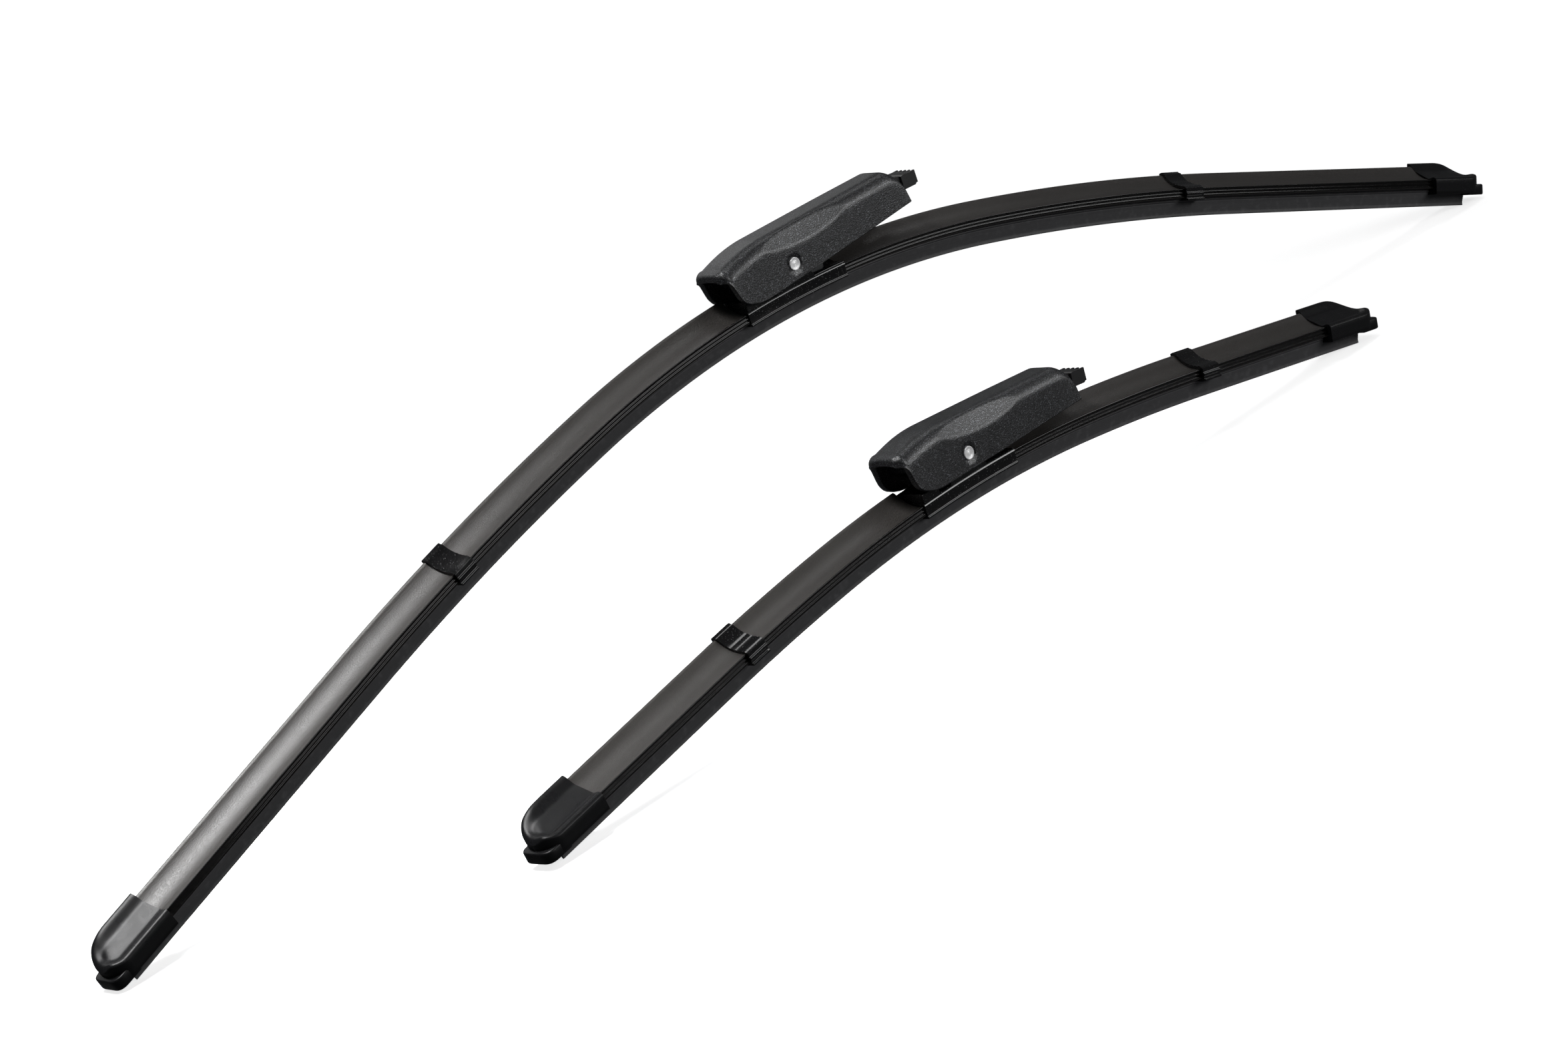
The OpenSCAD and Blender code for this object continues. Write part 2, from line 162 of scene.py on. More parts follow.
class Blade:
    """One blade's curve: arcs of two radii, then straight ends"""

    BENDS = {"long": (90, 205, 395, 965), "short": (60, 120, 525, 990)}
    CLIPS = {"long": (-160, 184), "short": (-106, 119)}

    def __init__(self, name):
        sizes, _ = settings()
        self.name = name
        self.half = getattr(sizes, name + "_length") / MM / 2
        self.mid_reach, self.end_reach, self.mid_radius, self.side_radius = self.BENDS[name]
        self.tilt = getattr(sizes, name + "_tilt")
        self.yaw = Matrix.Rotation(sizes.short_yaw if name == "short" else 0, 3, "Z")
        low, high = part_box(name + "_pivot_rivet")
        self.pivot = (low + high) / 2 / MM

    def turn(self, s):
        """Downward turn of the beam at s along it"""
        near = min(abs(s), self.mid_reach) / self.mid_radius
        far = max(0, min(abs(s), self.end_reach) - self.mid_reach) / self.side_radius
        return math.copysign(near + far, s)

    def rail_point(self, s):
        """(x, z) of the rail line from the top of the arch"""
        reach, middle, side = abs(s), self.mid_radius, self.side_radius
        first, last = self.turn(self.mid_reach), self.turn(min(reach, self.end_reach))
        if reach <= self.mid_reach:
            first = last
        x = middle * math.sin(first) + side * (math.sin(last) - math.sin(first))
        z = middle * (math.cos(first) - 1) + side * (math.cos(last) - math.cos(first))
        over = max(0, reach - self.end_reach)
        return math.copysign(x + over * math.cos(last), s), z - over * math.sin(last)

    def spot(self, s, y, n):
        """The point s along the blade, y deep and n above the lip, in metres"""
        x, z = self.rail_point(s)
        turn, rise = self.turn(s), n - RAIL_LEVEL
        level = z + rise * math.cos(turn) + RAIL_LEVEL - PIVOT_LEVEL
        return self.upright(x + rise * math.sin(turn), y, level)

    def upright(self, x, y, z):
        """A point measured from the rivet and square to the ground, in metres"""
        return (self.yaw @ Vector((x, y, z)) + self.pivot) * MM

    def linked(self, x, y, z):
        """A point in the connector's frame, measured from the rivet, in metres"""
        c, t = math.cos(self.tilt), math.sin(self.tilt)
        return (self.yaw @ Vector((x * c - z * t, y, x * t + z * c)) + self.pivot) * MM


# ---- Small shape tools ----

def steps(low, high, pitch):
    """Evenly spaced values from low to high, about pitch apart"""
    count = max(1, round(abs(high - low) / pitch))
    return [low + (high - low) * i / count for i in range(count + 1)]


def ease(value):
    """0 below 0, 1 above 1, smooth between"""
    value = min(1.0, max(0.0, value))
    return value * value * (3 - 2 * value)


def rounded(corners, radius, segments):
    """A closed outline with its corners rounded; radius is one number or one for each corner"""
    outline = []
    for i, corner in enumerate(corners):
        r = radius[i] if isinstance(radius, (list, tuple)) else radius
        here = Vector(corner)
        back, ahead = Vector(corners[i - 1]) - here, Vector(corners[(i + 1) % len(corners)]) - here
        cut = min(r, back.length * 0.45, ahead.length * 0.45)
        if cut < 0.01:
            outline.append(tuple(here))
            continue
        start, end = here + back.normalized() * cut, here + ahead.normalized() * cut
        for k in range(segments + 1):
            t = k / segments
            outline.append(tuple(start * (1 - t) ** 2 + here * 2 * t * (1 - t) + end * t ** 2))
    return outline


def arc(centre, radius, start, end, count):
    """Points on an arc; angles in degrees"""
    angles = [math.radians(start + (end - start) * i / count) for i in range(count + 1)]
    return [(centre[0] + radius * math.cos(a), centre[1] + radius * math.sin(a)) for a in angles]


class Skin:
    """Collects rings of points into one smooth mesh"""

    def __init__(self):
        self.bm = bmesh.new()
        self.run = self.bm.loops.layers.uv.new("Run")

    def grid(self, rows, closed=False, marks=None):
        """Joins neighbouring rows of points; closed joins each row's ends as well"""
        made = [[self.bm.verts.new(point) for point in row] for row in rows]
        across = len(rows[0])
        for i in range(len(rows) - 1):
            for j in range(across if closed else across - 1):
                k = (j + 1) % across
                face = self.bm.faces.new((made[i][j], made[i][k], made[i + 1][k], made[i + 1][j]))
                if marks:
                    corners = ((i, j), (i, j + 1), (i + 1, j + 1), (i + 1, j))
                    for loop, (row, column) in zip(face.loops, corners):
                        loop[self.run].uv = (marks[0][row] * MM, marks[1][column] * MM)
        return made

    def tube(self, rows, marks=None):
        """A closed solid lofted through rings, with flat ends"""
        made = self.grid(rows, closed=True, marks=marks)
        self.bm.faces.new(made[0])
        self.bm.faces.new(made[-1])

    def finish(self, name, node, slot, material, edge=0.0, crease=35):
        """Makes the piece that stands for a CAD node

        edge bevels its sharp edges, in millimetres; crease is the angle, in degrees, that counts
        as sharp
        """
        bmesh.ops.remove_doubles(self.bm, verts=self.bm.verts, dist=1e-7)
        bmesh.ops.triangulate(self.bm, faces=[f for f in self.bm.faces if len(f.verts) > 4])
        bmesh.ops.recalc_face_normals(self.bm, faces=self.bm.faces)
        mesh = bpy.data.meshes.new(name)
        self.bm.to_mesh(mesh)
        self.bm.free()
        mesh.materials.append(material)
        mesh.shade_smooth()
        mesh.set_sharp_from_angle(angle=math.radians(crease))
        piece = bpy.data.objects.new(name, mesh)
        bpy.context.scene.collection.objects.link(piece)
        if edge:
            bevel = piece.modifiers.new("Soft edges", "BEVEL")
            bevel.width = edge * MM
            bevel.segments = 2
            bevel.limit_method = "ANGLE"
            bevel.angle_limit = math.radians(crease)
            bevel.harden_normals = True
        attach(piece, frame["nodes"][node]["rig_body"])
        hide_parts(node)


def lengths(outline):
    """Distance round a closed outline at each point, and once more at its end"""
    marks = [0.0]
    for i, point in enumerate(outline):
        following = outline[(i + 1) % len(outline)]
        marks.append(marks[-1] + math.dist(point, following))
    return marks


def sweep(skin, blade, outline, stations):
    """Runs a (depth, height) outline along the blade"""
    rings = [[blade.spot(s, y, n) for y, n in outline] for s in stations]
    skin.tube(rings, (stations, lengths(outline)))


# ---- Shader maths ----

class Signal:
    """A socket that works in ordinary expressions, adding its Math nodes as it goes"""

    def __init__(self, finish, socket):
        self.finish, self.socket = finish, socket

    def _math(self, operation, *values):
        return self.finish.node("ShaderNodeMath", {"operation": operation}, *values)

    def __add__(self, other):
        return self._math("ADD", self, other)

    def __sub__(self, other):
        return self._math("SUBTRACT", self, other)

    def __rsub__(self, other):
        return self._math("SUBTRACT", other, self)

    def __mul__(self, other):
        return self._math("MULTIPLY", self, other)

    def __gt__(self, other):
        return self._math("GREATER_THAN", self, other)

    __radd__, __rmul__ = __add__, __mul__

    def within(self, low, high):
        """0 below low, 1 above high, smooth between"""
        smooth = {"interpolation_type": "SMOOTHSTEP"}
        return self.finish.node("ShaderNodeMapRange", smooth, self, low, high)


class Finish:
    """One procedural material"""

    def __init__(self, name, **constants):
        self.material = bpy.data.materials.new(name)
        self.material.use_nodes = True
        self.tree = self.material.node_tree
        self.shader = self.tree.nodes["Principled BSDF"]
        for socket, value in constants.items():
            self.shader.inputs[socket.replace("_", " ")].default_value = value
        self.place = self.node("ShaderNodeTexCoord", {}, output="Object")

    def node(self, kind, choices, *values, output=0, **named):
        """Adds a node, makes its choices first, then feeds its sockets in order or by name"""
        made = self.tree.nodes.new(kind)
        for choice, value in choices.items():
            setattr(made, choice, value)
        for socket, value in [*enumerate(values), *named.items()]:
            self.feed(made.inputs[socket], value)
        return Signal(self, made.outputs[output])

    def feed(self, socket, value):
        """Links a signal to a socket, or sets the socket to a plain value"""
        if isinstance(value, Signal):
            self.tree.links.new(value.socket, socket)
        else:
            socket.default_value = value

    def vector(self, operation, *values, output=0):
        """One step of vector maths"""
        return self.node("ShaderNodeVectorMath", {"operation": operation}, *values, output=output)

    def run(self, along, across):
        """Texture place on swept pieces, squeezed along and across the run"""
        spot = self.node("ShaderNodeUVMap", {"uv_map": "Run"})
        return self.vector("MULTIPLY", spot, (along, across, 1))

    def noise(self, scale, detail, place=None):
        """Cloudy noise, scale to the metre"""
        return self.node(
            "ShaderNodeTexNoise", {}, Vector=place or self.place, Scale=scale, Detail=detail)

    def cells(self, scale):
        """Distance to the nearest of scattered points, scale to the metre"""
        return self.node("ShaderNodeTexVoronoi", {}, Vector=self.place, Scale=scale)

    def round_section(self):
        """Metres round the section on swept pieces"""
        spot = self.node("ShaderNodeUVMap", {"uv_map": "Run"})
        return self.node("ShaderNodeSeparateXYZ", {}, spot, output="Y")

    def blend(self, mask, low, high):
        """One colour turning into another as mask goes from 0 to 1"""
        made = self.node("ShaderNodeMix", {"data_type": "RGBA"}, Factor=mask, output=MIX_RESULT)
        for index, colour in zip(MIX_COLOURS, (low, high)):
            value = colour if isinstance(colour, Signal) else (*colour, 1)
            self.feed(made.socket.node.inputs[index], value)
        return made

    def surface(self, colour, roughness, height, depth):
        """Joins the finished signals to the shader; depth is the relief's height in metres"""
        self.feed(self.shader.inputs["Base Color"], colour)
        self.feed(self.shader.inputs["Roughness"], roughness)
        bump = self.node(
            "ShaderNodeBump", {}, Strength=1.0, Distance=depth, Height=height, output="Normal")
        self.feed(self.shader.inputs["Normal"], bump)
        return self.material


def tinted(colour, gain, lift=0.0):
    """A colour made lighter or darker by gain, then paler by lift"""
    return tuple(c * gain + lift for c in colour)


def spoiler_finish():
    """Satin extruded rubber: a warm grey skin with faint draw lines and a pepper of dull spots;
    its ribbed front under the brow is painted near black as painted shade
    """
    colour = settings()[1].spoiler
    f = Finish("spoiler_satin", Specular_IOR_Level=0.42)
    cloud = f.noise(38, 3)
    pepper = f.noise(2600, 2).within(0.42, 0.66)
    lines = f.noise(1, 3, f.run(14, 2600))
    # face is 0 on the ribbed front under the brow and 1 round the rest; there the colour drops to
    # 0.08 of the skin's, a painted shade
    face = f.round_section().within(0.0043, 0.0047)
    tone = cloud * 0.55 + pepper * 0.3 + lines * 0.25
    skin = f.blend(tone, tinted(colour, 0.72), tinted(colour, 1.32))
    return f.surface(
        f.blend(face, tinted(colour, 0.08), skin),
        0.1 + face * (pepper * 0.09 + cloud * 0.07 + 0.23), (pepper + lines) * face * 0.5, 0.00003)


def rubber_finish():
    """Matte wiping rubber: die lines along the run and a film of pale dust"""
    colour = settings()[1].rubber
    f = Finish("wiping_rubber_matte", Specular_IOR_Level=0.36)
    dust = f.noise(420, 4).within(0.5, 0.75)
    lines = f.noise(1, 2, f.run(9, 3200))
    grain = f.noise(5200, 2)
    return f.surface(
        f.blend(dust * 0.35 + lines * 0.3, colour, tinted(colour, 2.1, 0.004)),
        0.42 + dust * 0.16 + lines * 0.1, lines * 0.7 + grain * 0.3, 0.00004)


def cap_finish():
    """Satin moulded plastic with a fine etched grain, rubbed a little paler in patches"""
    colour = settings()[1].cap
    f = Finish("end_cap_satin", Specular_IOR_Level=0.18)
    rubbed = f.noise(160, 3).within(0.45, 0.7)
    grain = f.noise(6500, 2)
    specks = f.cells(1500).within(0.1, 0.22)
    return f.surface(
        f.blend(rubbed * 0.6, colour, tinted(colour, 1.7)),
        0.26 + grain * 0.1 - rubbed * 0.05, grain * 0.7 + specks * 0.3, 0.00004)


def cover_finish():
    """Spark-eroded moulding: a tight leathery grain with pale, partly metallic flecks painted in
    as its glitter: painted glints
    """
    colour = settings()[1].cover
    f = Finish("cover_spark_grain", Specular_IOR_Level=0.5)
    pits = f.cells(2400)
    fine = f.noise(4200, 3)
    broad = f.noise(70, 2)
    # Painted glints: scattered pale flecks stand in for the grain's glitter; being partly metallic
    # they also catch the lamps
    painted_glints = f.noise(3400, 2).within(0.54, 0.7)
    base = f.blend(broad * 0.6, tinted(colour, 0.7), tinted(colour, 1.4))
    f.feed(f.shader.inputs["Metallic"], painted_glints * 0.6)
    return f.surface(
        f.blend(painted_glints, base, (0.17, 0.177, 0.19)),
        0.27 + fine * 0.1 + broad * 0.05, pits * 0.65 + fine * 0.5, 0.00007)


def gloss_finish(name, dusty):
    """Polished black plastic with hairline scuffs, and dust where it is hard to wipe"""
    colour = settings()[1].gloss
    f = Finish(name, Specular_IOR_Level=0.55)
    specks = f.noise(3100, 1) > 0.72
    film = f.noise(90, 3).within(0.45, 0.75)
    scuffs = f.noise(240, 2)
    amount = 0.5 if dusty else 0.12
    return f.surface(
        f.blend(specks * amount, colour, (0.32, 0.32, 0.33)),
        0.1 + film * 0.1 + specks * 0.4, scuffs, 0.00001)


def metal_finish(name, colour, roughness, rub=(1, 1, 1)):
    """Metal with fine marks that run where rub is small"""
    f = Finish(name, Metallic=1.0)
    marks = f.noise(5000, 3, f.vector("MULTIPLY", f.place, rub))
    stain = f.noise(220, 3)
    return f.surface(
        f.blend(stain, tinted(colour, 0.82), colour),
        roughness + marks * 0.16 + stain * 0.06, marks, 0.00002)


def rivet_finish(blade):
    """Bright formed rivet head with faint rings from the riveting tool and a painted shade ring
    round its rolled rim
    """
    f = Finish(blade.name + "_rivet_bright", Metallic=0.45)
    axis = blade.yaw @ Vector((0, 1, 0))
    out = f.vector("SUBTRACT", f.place, tuple(blade.pivot * MM))
    off = f.vector("CROSS_PRODUCT", out, tuple(axis))
    radius = f.vector("LENGTH", off, output="Value")
    radians_per_metre = 22000
    rings = f.node("ShaderNodeMath", {"operation": "SINE"}, radius * radians_per_metre)
    wear = f.noise(1500, 3)
    # Painted shade: edge darkens the head where its rim rolls back
    edge = radius.within(0.0017, 0.0022)
    return f.surface(
        f.blend(wear * 0.35 + edge * 0.3, (0.95, 0.95, 0.95), (0.6, 0.6, 0.62)),
        0.3 + wear * 0.2, rings * 0.3 + wear * 0.7, 0.00004)


def plain_plastic(name, colour, roughness):
    """Moulded plastic for the parts inside the connector: flow marks and a soft grain"""
    f = Finish(name)
    flow = f.noise(130, 3)
    grain = f.noise(4200, 2)
    return f.surface(
        f.blend(flow, tinted(colour, 0.8), tinted(colour, 1.25)),
        roughness + grain * 0.1, grain * 0.6 + flow * 0.4, 0.00004)


# ---- Sections of the blade ----

def face_line(count, lift=0.0):
    """The spoiler's hollow face from fin to brow, lifted off by lift"""
    hollow, fin, brow = 1.4, (FIN_OUT - 0.6, FIN_LEVEL), (-SPOILER_HALF, BROW_LEVEL)
    chord = math.dist(fin, brow)
    radius = chord * chord / (8 * hollow) + hollow / 2
    slope = math.atan2(fin[1] - brow[1], fin[0] - brow[0])
    rise = radius - hollow
    middle = ((fin[0] + brow[0]) / 2, (fin[1] + brow[1]) / 2)
    centre = (middle[0] - rise * math.sin(slope), middle[1] + rise * math.cos(slope))
    half = math.degrees(math.asin(chord / 2 / radius))
    facing = math.degrees(slope) - 90
    return arc(centre, radius - lift, facing + half, facing - half, count)


def rail_channel(mouth, floor):
    """The hollow that takes the rails and the rubber's head, left to right, open at the floor"""
    left = [(-mouth, floor), (-mouth, 7.05), (-4.5, 7.05),
            (-4.5, 8.15), (-2.1, 8.15), (-2.1, 8.95)]
    return left + [(-y, n) for y, n in reversed(left)]


def spoiler_outline():
    """Foot, ribbed front, bead along the brow, hollow face, fin, back, and the channel inside"""
    half = SPOILER_HALF
    front = [(-half + inset, n) for inset, n in (
        (0.45, 9.52), (0.05, 9.5), (0, 9.3), (0.08, 8.98), (0.5, 8.9), (0.5, 8.35),
        (0.1, 8.25), (0.1, 7.85), (0.5, 7.72), (0.5, 7.3), (0, 7.2), (0, SOLE_LEVEL))]
    inside = rail_channel(3.1, SOLE_LEVEL)
    back = [(half, SOLE_LEVEL), (half, 9.0), (FIN_OUT - 0.15, 12.6),
            (FIN_OUT, FIN_LEVEL - 0.12), (FIN_OUT - 0.3, FIN_LEVEL)]
    body = rounded(front, 0.1, 2) + rounded(inside, 0.05, 1) + rounded(back, 0.25, 3)
    return body + face_line(26)[1:-1]


def rubber_outline():
    """Wiping lip and wedge leaning on their neck, shoulder, and the head that holds the rails"""
    lean = settings()[0].lip_lean
    rear = [(0.3, 0), (0.42, 1.0), (2.25, 4.2), (2.3, 4.5), (2.8, 4.7), (2.8, 5.3),
            (0.55, 5.3), (0.5, 5.6), (0.55, 5.9), (2.9, 5.9), (2.9, 7.05), (1.1, 7.05),
            (1.1, 8.15), (2, 8.15), (2, 8.5), (1.6, 8.85)]
    soft = [0.15, 0.4, 0.3, 0.15, 0.18, 0.18, 0.2, 0.1, 0.2, 0.2, 0.05, 0.05, 0.05, 0.05, 0.1, 0.1]
    corners = rear + [(-y, n) for y, n in reversed(rear)]
    shoulder, neck, neck_top = 5.3, 5.6, 5.75
    leant = []
    for y, n in rounded(corners, soft + soft[::-1], 3):
        if n < neck_top:
            amount = lean * ease((neck_top - n) / 0.6)
            reach = (n - neck) * (1 + 0.02 * ease((3 - n) / 3))
            y, n = (y * math.cos(amount) + reach * math.sin(amount),
                    neck + reach * math.cos(amount) - y * math.sin(amount))
        leant.append((y, n))
    floor = min(n for _, n in leant)
    return [(y, n - floor * ease((shoulder - n) / 5)) for y, n in leant]


# ---- Builders ----

def floor_finish():
    """Pale paper that glows a little, more so away from the blades"""
    colour = settings()[1].floor
    f = Finish("studio_floor", Specular_IOR_Level=0.1, Emission_Strength=1.0)
    away = f.vector("LENGTH", f.place, output="Value")
    glow = f.blend(away.within(0.36, 0.8), (0.7, 0.7, 0.7), (1, 1, 1))
    f.feed(f.shader.inputs["Emission Color"], glow)
    paper = f.blend(f.noise(35, 3), tinted(colour, 0.99), tuple(colour))
    return f.surface(paper, 0.8, f.noise(900, 3), 0.00002)


def build_stage():
    """The floor, the air round it and the softboxes"""
    scene = bpy.context.scene
    mesh = bpy.data.meshes.new("studio_floor")
    reach = 9.0
    corners = [(-reach, -reach, 0), (reach, -reach, 0), (reach, reach, 0), (-reach, reach, 0)]
    mesh.from_pydata(corners, [], [(0, 1, 2, 3)])
    mesh.materials.append(floor_finish())
    floor = bpy.data.objects.new("studio_floor", mesh)
    scene.collection.objects.link(floor)
    floor.visible_glossy = False
    floor.visible_diffuse = False

    world = bpy.data.worlds.new("studio_air")
    world.use_nodes = True
    tree = world.node_tree
    seen, lit = tree.nodes["Background"], tree.nodes.new("ShaderNodeBackground")
    mix, path = tree.nodes.new("ShaderNodeMixShader"), tree.nodes.new("ShaderNodeLightPath")
    seen.inputs["Color"].default_value = (1, 1, 1, 1)
    seen.inputs["Strength"].default_value = 1.0
    lit.inputs["Color"].default_value = (0.95, 0.97, 1, 1)
    lit.inputs["Strength"].default_value = 0.07
    tree.links.new(path.outputs["Is Camera Ray"], mix.inputs["Fac"])
    tree.links.new(lit.outputs[0], mix.inputs[1])
    tree.links.new(seen.outputs[0], mix.inputs[2])
    tree.links.new(mix.outputs[0], tree.nodes["World Output"].inputs["Surface"])
    scene.world = world
    scene.view_settings.view_transform = "Standard"

    # Softboxes: name, size and place in metres, aim, power in watts, spread in degrees
    for name, size, place, aim, power, spread in (
        ("overhead", (0.36, 0.8), (-0.34, 0.1, 1.0), (-0.34, 0.1, 0), 3, 56),
        ("roof_strip", (0.1, 0.7), (0.5, 0.12, 0.9), (0, 0, 0.05), 0.9, 180),
        ("line_strip", (1.8, 0.1), (0.5, -0.8, 0.8), (0, 0, 0.05), 1.6, 180),
        ("rear_wide", (2.2, 1.4), (0.5, 2.0, 1.3), (0, 0, 0.05), 8, 180),
        ("front_fill", (1.6, 0.5), (1.1, -1.5, 0.45), (0, 0, 0.05), 17, 180),
    ):
        light = bpy.data.lights.new(name, "AREA")
        light.shape = "RECTANGLE"
        light.size, light.size_y = size
        light.energy = power
        light.spread = math.radians(spread)
        lamp = bpy.data.objects.new(name, light)
        lamp.location = place
        lamp.rotation_euler = (Vector(aim) - Vector(place)).to_track_quat("-Z", "Y").to_euler()
        scene.collection.objects.link(lamp)


def build_camera():
    """A long lens from the front left, rolled clockwise"""
    azimuth, elevation, roll = math.radians(52.3), math.radians(15.69), math.radians(-17.95)
    distance, focal = 1.7376, 117.6
    pivot = Blade("long").pivot * MM
    target = Vector((pivot.x + 0.0194, pivot.y + 0.0639, 0))
    ahead = Vector((math.cos(elevation) * math.cos(azimuth),
                    math.cos(elevation) * math.sin(azimuth), -math.sin(elevation)))
    level = Vector((math.sin(azimuth), -math.cos(azimuth), 0))
    top = level.cross(ahead)
    right = level * math.cos(roll) + top * math.sin(roll)
    up = top * math.cos(roll) - level * math.sin(roll)
    data = bpy.data.cameras.new("studio_camera")
    data.sensor_width, data.lens, data.clip_start = 36, focal, 0.05
    camera = bpy.data.objects.new("studio_camera", data)
    facing = Matrix((right, up, -ahead)).transposed().to_4x4()
    camera.matrix_world = Matrix.Translation(target - ahead * distance) @ facing
    bpy.context.scene.collection.objects.link(camera)
    bpy.context.scene.camera = camera


def build_rubbers():
    """The wiping rubbers, end to end"""
    material = rubber_finish()
    outline = rubber_outline()
    for blade in map(Blade, BLADES):
        skin = Skin()
        sweep(skin, blade, outline, steps(-blade.half, blade.half, 3))
        skin.finish(blade.name + "_lip_rubber", blade.name + "_wiping_rubber",
                    "rubber", material, crease=50)


def build_spoilers():
    """The spoiler halves, from the clamp to inside the end caps"""
    material = spoiler_finish()
    outline = spoiler_outline()
    for blade in map(Blade, BLADES):
        for side, sign in SIDES:
            skin = Skin()
            inner, outer = sign * (CLAMP_HALF + 0.3), sign * (blade.half - 4)
            sweep(skin, blade, outline, steps(min(inner, outer), max(inner, outer), 3))
            skin.finish(f"{blade.name}_spoiler_skin_{side}", f"{blade.name}_spoiler_{side}",
                        "spoiler", material, crease=40)


def clip_outline():
    """The claw round the spoiler, open below, with stepped treads on the lower half of its face"""
    wall, slack, mouth = 0.95, 0.1, 3.3
    tread_rise, tread_count = 0.34, 6.5
    half, inner_half = SPOILER_HALF + wall, SPOILER_HALF + slack
    foot, sole = SOLE_LEVEL - wall, SOLE_LEVEL - slack
    lift = face_line(30, wall)
    treads = []
    for i, (y, n) in enumerate(lift[1:-1]):
        part = i / (len(lift) - 3)
        step = tread_rise * (1 - ((part - 0.5) * tread_count) % 1) if part > 0.5 else 0
        treads.append((y, n + step))
    back = [(half + 0.1, BROW_LEVEL), (FIN_OUT + wall, FIN_LEVEL + 0.5),
            (FIN_OUT - 0.4, FIN_LEVEL + wall)]
    front = [(-half, BROW_LEVEL + 0.5), (-half, 8.4), (-half - 0.35, 8.1), (-half - 0.35, 7.3),
             (-half, 7.0), (-half, 6.3), (-half - 0.55, 6.1), (-half - 0.55, foot), (-mouth, foot)]
    inner = ([(-mouth, sole), (-inner_half, sole), (-inner_half, BROW_LEVEL + 0.1)]
             + face_line(14, 0.12)[::-1]
             + [(FIN_OUT + 0.1, FIN_LEVEL), (inner_half, BROW_LEVEL), (inner_half, sole),
                (mouth, sole)])
    return (rounded(back, 0.3, 3) + treads + rounded(front, 0.14, 2) + inner
            + rounded([(mouth, foot), (half, foot)], 0.1, 2))


def build_clips():
    """The claws, two on each blade"""
    material = gloss_finish("clip_gloss", dusty=False)
    outline = clip_outline()
    half_width = 4
    for blade in map(Blade, BLADES):
        for (side, _), s in zip(SIDES, Blade.CLIPS[blade.name]):
            skin = Skin()
            sweep(skin, blade, outline, steps(s - half_width, s + half_width, 2))
            skin.finish(f"{blade.name}_claw_{side}", f"{blade.name}_clip_{side}",
                        "clip_black", material, edge=0.16)


def cap_top(x, y):
    """Height of the end cap's top above the lip, x past the rubber's end and y deep"""
    front_level, rise, drop_radius = 10.55, 0.495, 16.4
    rim, scoop, scoop_run = 0.75, 1.8, 3.4
    slope = front_level + (y + SPOILER_HALF) * rise
    drop = -0.4 + math.sqrt(max(1.0, drop_radius ** 2 - max(0.0, x + 6.6) ** 2))
    # The lower of the slope and the nose's drop, blunt where they cross
    blunt = 0.5
    top = -blunt * math.log(math.exp(-slope / blunt) + math.exp(-drop / blunt))
    inside = CAP_RADIUS - math.hypot(max(0.0, x - CAP_BEND), y) - rim
    return top - scoop * ease(inside / scoop_run)


def cap_ring(x):
    """The end cap's outline x past the rubber's end, from its front foot over the top and back"""
    half = math.sqrt(max(0.05, CAP_RADIUS ** 2 - max(0.0, x - CAP_BEND) ** 2))
    fin = 0.7 * half / CAP_RADIUS
    low = 4.2
    edge = cap_top(x, -half)
    ring = [(-half + 0.3, low), (-half, low + 0.3)]
    ring += [(-half, low + (edge - 0.5 - low) * t) for t in (0.25, 0.5, 0.75)]
    ring += [(-half, edge - 0.55), (-half + 0.08, edge - 0.28), (-half + 0.25, edge - 0.08)]
    for u in (-1 + 2 * k / 30 for k in range(31)):
        y = u * (half - 0.45)
        ring.append((y + fin * ease((u + 1) / 2), cap_top(x, y)))
    edge, back = cap_top(x, half), half + fin
    ring += [(back - 0.2, edge - 0.1), (back - 0.03, edge - 0.35), (back, edge - 0.7)]
    ring += [(half + fin * t, low + (edge - 0.7 - low) * t) for t in (0.75, 0.5, 0.25)]
    return ring + [(half, low + 0.3), (half - 0.3, low),
                   (half * 0.5, low), (0, low), (-half * 0.5, low)]


def build_end_caps():
    """The end caps, each a scooped shell with a tongue under its nose"""
    material = cap_finish()
    stations = steps(-19, CAP_BEND, 1.1)
    stations += [CAP_BEND + CAP_RADIUS * math.sin(math.radians(a)) for a in range(5, 88, 5)]
    plan = rounded([(-1.5, -6.3), (7.9, -6.3), (7.9, 6.3), (-1.5, 6.3)], [0.3, 3.6, 3.6, 0.3], 8)
    tongue_middle = 3.2
    tongue = []
    for n, inset in ((3.6, 0.4), (3.75, 0.12), (4.1, 0), (6.9, 0), (7.3, 0.15), (7.45, 0.6)):
        shrink = 1 - inset / 6
        tongue.append([(tongue_middle + (x - tongue_middle) * shrink, y * shrink, n)
                       for x, y in plan])
    shell = [[(x, y, n) for y, n in cap_ring(x)] for x in stations]
    for blade in map(Blade, BLADES):
        for side, sign in SIDES:
            skin = Skin()
            for rings in (shell, tongue):
                skin.tube([[blade.spot(sign * (blade.half + x), y, n) for x, y, n in ring]
                           for ring in rings])
            skin.finish(f"{blade.name}_cap_shell_{side}", f"{blade.name}_end_cap_{side}",
                        "cap_plastic", material, crease=60)


